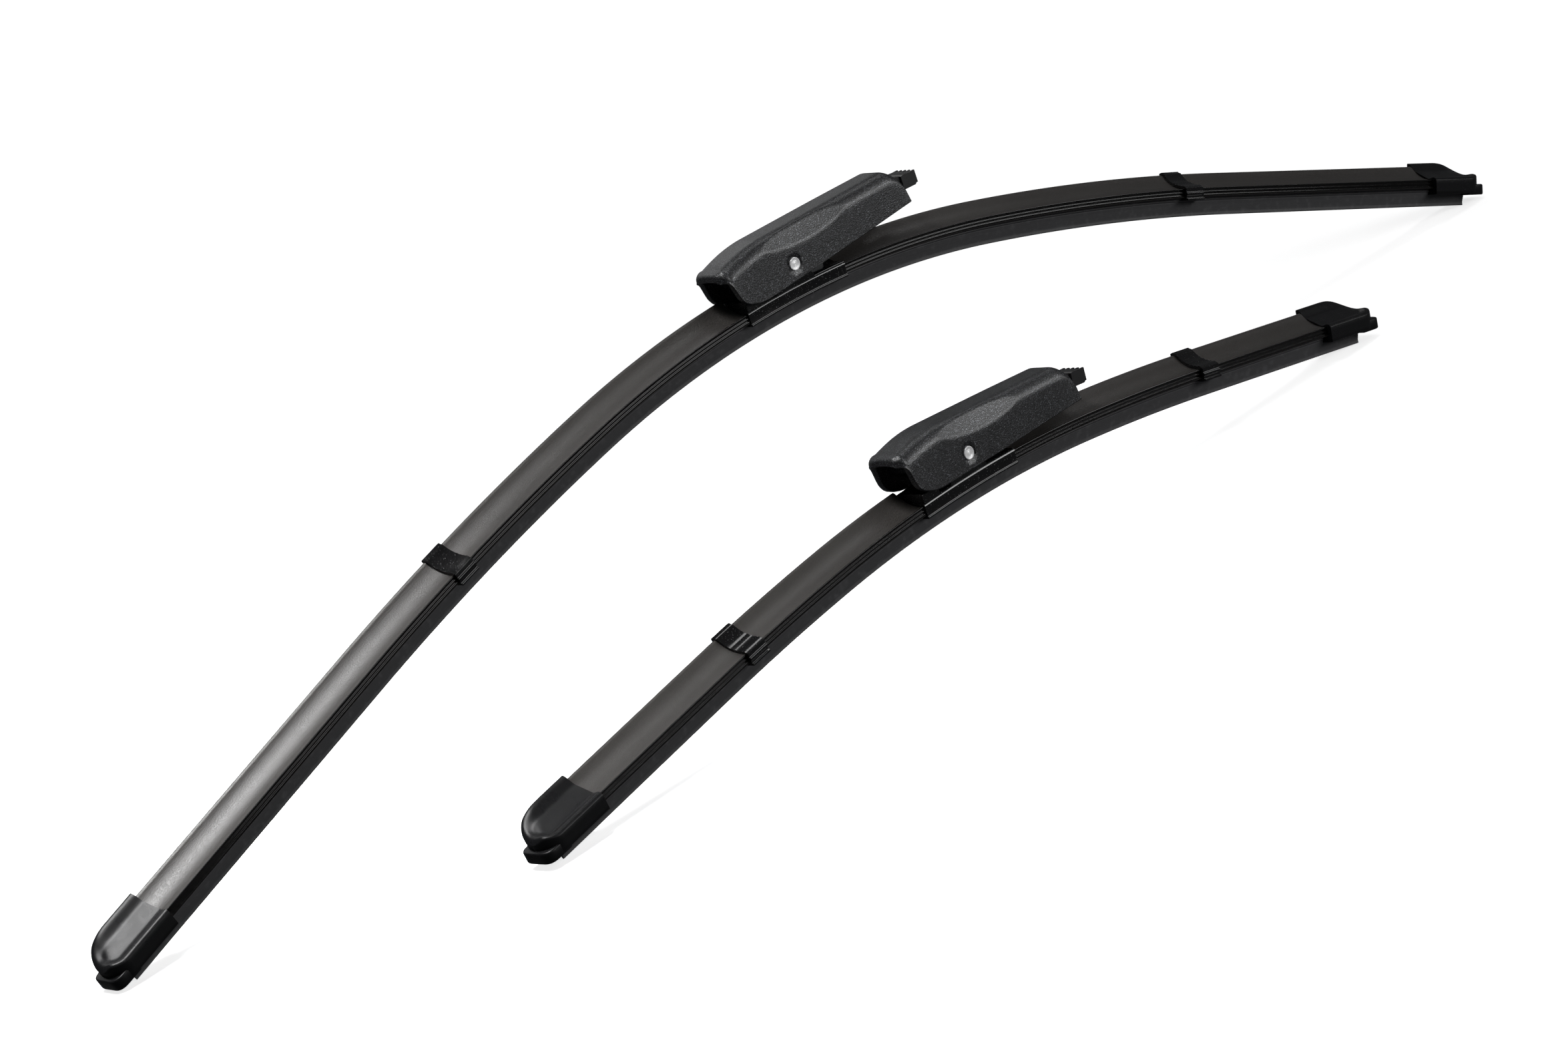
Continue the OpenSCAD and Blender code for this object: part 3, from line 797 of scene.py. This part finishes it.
def build_base_clamps():
    """The clamps: a seat round the rails, a saddle at its front end and two ears for the rivet"""
    material = gloss_finish("clamp_gloss", dusty=True)
    half, foot, seat = 5.9, 5.2, 10.2
    front = [(-half, foot), (-half, 5.8), (-half + 0.25, 6.0), (-half + 0.25, 9.2),
             (-half, 9.4), (-half + 0.5, 10.4)]
    outside = front + [(-y, n) for y, n in reversed(front)]
    outline = rounded(outside, 0.15, 2) + rail_channel(3.2, foot)[::-1]
    saddle = rounded([(-5.6, seat), (-5.6, 13.4), (5.6, 13.4), (5.6, seat)], [0, 0.6, 0.6, 0], 3)
    drop = seat - PIVOT_LEVEL
    ear = [(-9, drop), (9, drop)] + arc((0, 0), 3.6, 5, 175, 18)
    for blade in map(Blade, BLADES):
        skin = Skin()
        sweep(skin, blade, outline, steps(-CLAMP_HALF, CLAMP_HALF, 2))
        sweep(skin, blade, saddle, steps(-CLAMP_HALF + 0.5, -14, 2))
        for sign in (-1, 1):
            skin.tube([[blade.upright(x, y * sign, z) for x, z in ear] for y in (4.6, 5.8)])
        skin.finish(blade.name + "_clamp_shell", blade.name + "_base_clamp",
                    "clamp_black", material, edge=0.2)


def build_rivets():
    """The rivets, turned from (radius, depth) profiles with a dished head at both ends"""
    head = [(0.02, -8.72), (0.8, -8.68), (1.4, -8.62), (1.75, -8.72),
            (1.95, -8.8), (2.12, -8.74), (2.2, -8.55), (2.2, -8)]
    profile = head + [(r, -y) for r, y in reversed(head)]
    turns = [math.tau * k / 40 for k in range(40)]
    for blade in map(Blade, BLADES):
        skin = Skin()
        skin.tube([[blade.linked(r * math.cos(a), y, r * math.sin(a)) for a in turns]
                   for r, y in profile])
        skin.finish(blade.name + "_rivet_head", blade.name + "_pivot_rivet",
                    "rivet_steel", rivet_finish(blade), crease=50)


def cover_levels(x):
    """Bottom edge and roof height of the connector cover, x behind the rivet"""
    low = [(-30, 5.2), (-28.5, 5.1), (-27.4, 4.7), (-26.6, 3.8), (-26.0, 2.2), (-25.4, 0.0),
           (-24.8, -1.8), (-23.8, -3.3), (-22.4, -4.3), (-20.4, -5.1), (-17.8, -5.7),
           (-14.5, -5.95), (-10, -5.65), (54.5, -0.8), (57, -0.6)]
    bottom = low[-1][1]
    for (x0, z0), (x1, z1) in zip(low, low[1:]):
        if x0 <= x < x1:
            bottom = z0 + (z1 - z0) * (x - x0) / (x1 - x0)
            break
    crown, nose_fall, nose_start, nose_run = 12.2, 4.4, -7, 22.5
    roof = crown - nose_fall * (max(0.0, nose_start - x) / nose_run) ** 1.9
    rear_start, rear_radius = 48.8, 6.5
    if x > rear_start:
        roof = 5.7 + math.sqrt(max(0.5, rear_radius ** 2 - (x - rear_start) ** 2))
    return bottom, roof


def cover_plan():
    """Points round the cover's plan, from the rear round the nose and back to the rear

    Each is (x, y, inward direction, reach to the roof's ridge, radius of the shoulder's bend).
    """
    side_bend, nose_bend_loss, nose_bend = 4.9, 2.6, 2.3
    columns = []
    rear_end = [50 + 5.1 * math.sin(math.radians(a)) for a in range(84, 0, -7)]
    for x in rear_end + steps(49.6, -24.9, 0.42):
        half = 8.9 - 0.7 * ease((x - 20) / 36) - 0.3 * ease((-14 - x) / 11)
        columns.append((x, -half, (0, 1), half, side_bend))
    nose, blunt = -29.5, 4.6
    flat = 8.6 - blunt
    for angle in steps(0, 90, 5)[1:]:
        a, part = math.radians(angle), ease(angle / 90)
        x, y = nose + blunt - blunt * math.sin(a), -flat - blunt * math.cos(a)
        columns.append((x, y, *cover_ridge(x, y, part), side_bend - nose_bend_loss * part))
    for y in steps(-flat, 0, 0.45)[1:]:
        columns.append((nose, y, *cover_ridge(nose, y, 1), nose_bend))
    mirrored = [(x, -y, (dx, -dy), reach, bend)
                for x, y, (dx, dy), reach, bend in reversed(columns[:-1])]
    return columns + mirrored


def cover_ridge(x, y, nose):
    """Inward direction and reach from the outline to the end of the roof's ridge"""
    ridge_end = -19
    toward = Vector((x + (ridge_end - x) * nose - x, -y))
    return tuple(toward.normalized()), toward.length


def cover_column(x, y, toward, reach, bend, inset, gap):
    """One column of the cover's wall and roof: up the wall, over the shoulder, in to the ridge"""
    bottom, roof = cover_levels(x)
    # The nose's edge arches up in the middle
    bottom += 0.9 * ease((-28.6 - x) / 0.8) * max(0.0, 1 - (y / 5.6) ** 4)
    bend = max(0.8, min(bend - inset, roof - gap - bottom - 0.8))
    shoulder = roof - gap - bend

    def top(reached):
        """Roof height where the column has come this far in"""
        return cover_levels(x + toward[0] * reached)[1] - gap

    draft, wall_steps, roof_steps = 0.22, 14, 8
    points = [(inset + draft * k / wall_steps, bottom + (shoulder - bottom) * k / wall_steps)
              for k in range(wall_steps + 1)]
    for k in range(1, wall_steps + 1):
        angle = math.radians(90 * k / wall_steps)
        reached = inset + draft + bend * (1 - math.cos(angle))
        points.append((reached, shoulder + (top(reached) - shoulder) * math.sin(angle)))
    start = points[-1][0]
    last = max(start + 0.3, reach)
    for k in range(1, roof_steps + 1):
        reached = start + (last - start) * k / roof_steps
        points.append((reached, top(reached)))
    # The rear end leans forward
    rear, lean = ease((x - 40) / 14), 0.15
    return [(x + toward[0] * i - rear * (z + 1) * lean, y + toward[1] * i, z) for i, z in points]


def scooped(point, depth):
    """Presses the finger hollow and the ring round the rivet into the cover's outside"""
    x, y, z = point
    side = -1 if y < 0 else 1
    radius, tip = 168, math.radians(23)
    centre = Vector((8, side * (9.1 - depth + radius * math.cos(tip)), 8 + radius * math.sin(tip)))
    out = Vector(point) - centre
    if out.length < radius:
        x, y, z = centre + out.normalized() * radius
    ring_radius, ring_depth = 2.85, 0.55
    if math.hypot(x, z) < ring_radius and abs(y) > 7:
        y -= side * ring_depth
    return x, y, z


def cover_section(x, y, toward, reach, bend, depth):
    """One column of the cover: outside from the ridge down, round the lip, inside back up"""
    wall, roof_wall = 2.3, 1.6
    outer = [scooped(point, depth) for point in cover_column(x, y, toward, reach, bend, 0, 0)]
    inner = cover_column(x, y, toward, reach, bend, wall, roof_wall)
    foot_x, foot_y, foot_z = outer[0]
    lip = [(foot_x + toward[0] * i, foot_y + toward[1] * i, foot_z - drop)
           for i, drop in COVER_LIP]
    return outer[::-1] + lip + inner


def build_covers():
    """The connector covers: an open shell and the web across the inside of its nose"""
    material = cover_finish()
    depth = settings()[0].grip_depth / MM
    sections = [cover_section(*column, depth) for column in cover_plan()]
    web = rounded([(-6.3, 0.5), (6.3, 0.5), (6.3, 8.9), (-6.3, 8.9)], 0.8, 4)
    for blade in map(Blade, BLADES):
        skin = Skin()
        rows = [[blade.linked(*point) for point in section] for section in sections]
        skin.grid(rows)
        # Close the wall's thickness at the rear edge
        half = (len(rows[0]) - len(COVER_LIP)) // 2
        for row in (rows[0], rows[-1]):
            skin.grid([row[:half][::-1], row[half + len(COVER_LIP):]])
        skin.tube([[blade.linked(x, y, z) for y, z in web] for x in (-19.9, -19.8, -18.8, -18.7)])
        skin.finish(blade.name + "_cover_shell", blade.name + "_connector_cover",
                    "cover_plastic", material, crease=38)


def dress_inner_parts():
    """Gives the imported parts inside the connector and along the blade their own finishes"""
    nodes = frame["nodes"]
    made = {
        "rail": metal_finish("rail_spring_steel", (0.42, 0.43, 0.45), 0.3, (0.05, 1, 1)),
        "bush": plain_plastic("bush_nylon", (0.62, 0.6, 0.54), 0.42),
        "insert": plain_plastic("insert_plastic", (0.013, 0.013, 0.014), 0.45),
        "lever": plain_plastic("lever_plastic", (0.008, 0.008, 0.0085), 0.3),
        "pin": metal_finish("pin_steel", (0.6, 0.61, 0.62), 0.24),
        "spring": metal_finish("spring_leaf_steel", (0.56, 0.57, 0.6), 0.22, (0.1, 1, 1)),
    }
    for name, kind in (
        ("rail_front", "rail"), ("rail_rear", "rail"), ("pivot_bush", "bush"),
        ("adapter_insert", "insert"), ("release_lever", "lever"), ("lever_pin", "pin"),
        ("return_spring", "spring"),
    ):
        for blade in BLADES:
            mesh = nodes[f"{blade}_{name}"].data
            mesh.materials.clear()
            mesh.materials.append(made[kind])


# ---- Operators, panel and registration ----

class WIPER_OT_stage(bpy.types.Operator):
    """Lay the pale floor, hang the softboxes and place the camera"""
    bl_idname = "wiper.stage"
    bl_label = "Studio Stage"

    def execute(self, context):
        build_stage()
        build_camera()
        return {"FINISHED"}


class WIPER_OT_rubbers(bpy.types.Operator):
    """Mould the two wiping rubbers with their leaning lips"""
    bl_idname = "wiper.rubbers"
    bl_label = "Wiping Rubbers"

    def execute(self, context):
        build_rubbers()
        return {"FINISHED"}


class WIPER_OT_spoilers(bpy.types.Operator):
    """Extrude the four spoiler halves along the bent rails"""
    bl_idname = "wiper.spoilers"
    bl_label = "Spoilers"

    def execute(self, context):
        build_spoilers()
        return {"FINISHED"}


class WIPER_OT_end_caps(bpy.types.Operator):
    """Mould the four end caps with their scooped tops and tongues"""
    bl_idname = "wiper.end_caps"
    bl_label = "End Caps"

    def execute(self, context):
        build_end_caps()
        return {"FINISHED"}


class WIPER_OT_clips(bpy.types.Operator):
    """Mould the four stepped claws that hold the spoilers to the rails"""
    bl_idname = "wiper.clips"
    bl_label = "Clips"

    def execute(self, context):
        build_clips()
        return {"FINISHED"}


class WIPER_OT_base_clamps(bpy.types.Operator):
    """Mould the two base clamps with their pivot ears"""
    bl_idname = "wiper.base_clamps"
    bl_label = "Base Clamps"

    def execute(self, context):
        build_base_clamps()
        return {"FINISHED"}


class WIPER_OT_rivets(bpy.types.Operator):
    """Turn the two pivot rivets with dished heads"""
    bl_idname = "wiper.rivets"
    bl_label = "Pivot Rivets"

    def execute(self, context):
        build_rivets()
        return {"FINISHED"}


class WIPER_OT_covers(bpy.types.Operator):
    """Mould the two grained connector covers with their finger hollows"""
    bl_idname = "wiper.covers"
    bl_label = "Connector Covers"

    def execute(self, context):
        build_covers()
        return {"FINISHED"}


class WIPER_OT_inner_parts(bpy.types.Operator):
    """Finish the rails, bushes, inserts, levers, pins and springs"""
    bl_idname = "wiper.inner_parts"
    bl_label = "Inner Parts"

    def execute(self, context):
        dress_inner_parts()
        return {"FINISHED"}


PIECE_OPERATORS = (
    WIPER_OT_stage, WIPER_OT_rubbers, WIPER_OT_spoilers, WIPER_OT_end_caps, WIPER_OT_clips,
    WIPER_OT_base_clamps, WIPER_OT_rivets, WIPER_OT_covers, WIPER_OT_inner_parts,
)


class WIPER_PT_blades(bpy.types.Panel):
    """Sizes, colours and builders of the blade pair"""
    bl_label = "Wiper Blades"
    bl_space_type = "VIEW_3D"
    bl_region_type = "UI"
    bl_category = "Wiper Blades"

    def draw(self, context):
        for group in (context.scene.wiper_sizes, context.scene.wiper_colours):
            box = self.layout.box()
            for name in group.bl_rna.properties.keys():
                if name not in ("rna_type", "name"):
                    box.prop(group, name)
        for operator in PIECE_OPERATORS:
            self.layout.operator(operator.bl_idname)


CLASSES = (WiperSizes, WiperColours, *PIECE_OPERATORS, WIPER_PT_blades)


def register():
    """Makes the classes and the scene's settings known"""
    for cls in CLASSES:
        bpy.utils.register_class(cls)
    bpy.types.Scene.wiper_sizes = PointerProperty(type=WiperSizes)
    bpy.types.Scene.wiper_colours = PointerProperty(type=WiperColours)


def unregister():
    """Takes back what register did"""
    del bpy.types.Scene.wiper_colours
    del bpy.types.Scene.wiper_sizes
    for cls in reversed(CLASSES):
        bpy.utils.unregister_class(cls)


def main():
    """Builds everything in order"""
    register()
    bpy.ops.wiper.stage()
    bpy.ops.wiper.rubbers()
    bpy.ops.wiper.spoilers()
    bpy.ops.wiper.end_caps()
    bpy.ops.wiper.clips()
    bpy.ops.wiper.base_clamps()
    bpy.ops.wiper.rivets()
    bpy.ops.wiper.covers()
    bpy.ops.wiper.inner_parts()


if __name__ == "__main__":
    main()
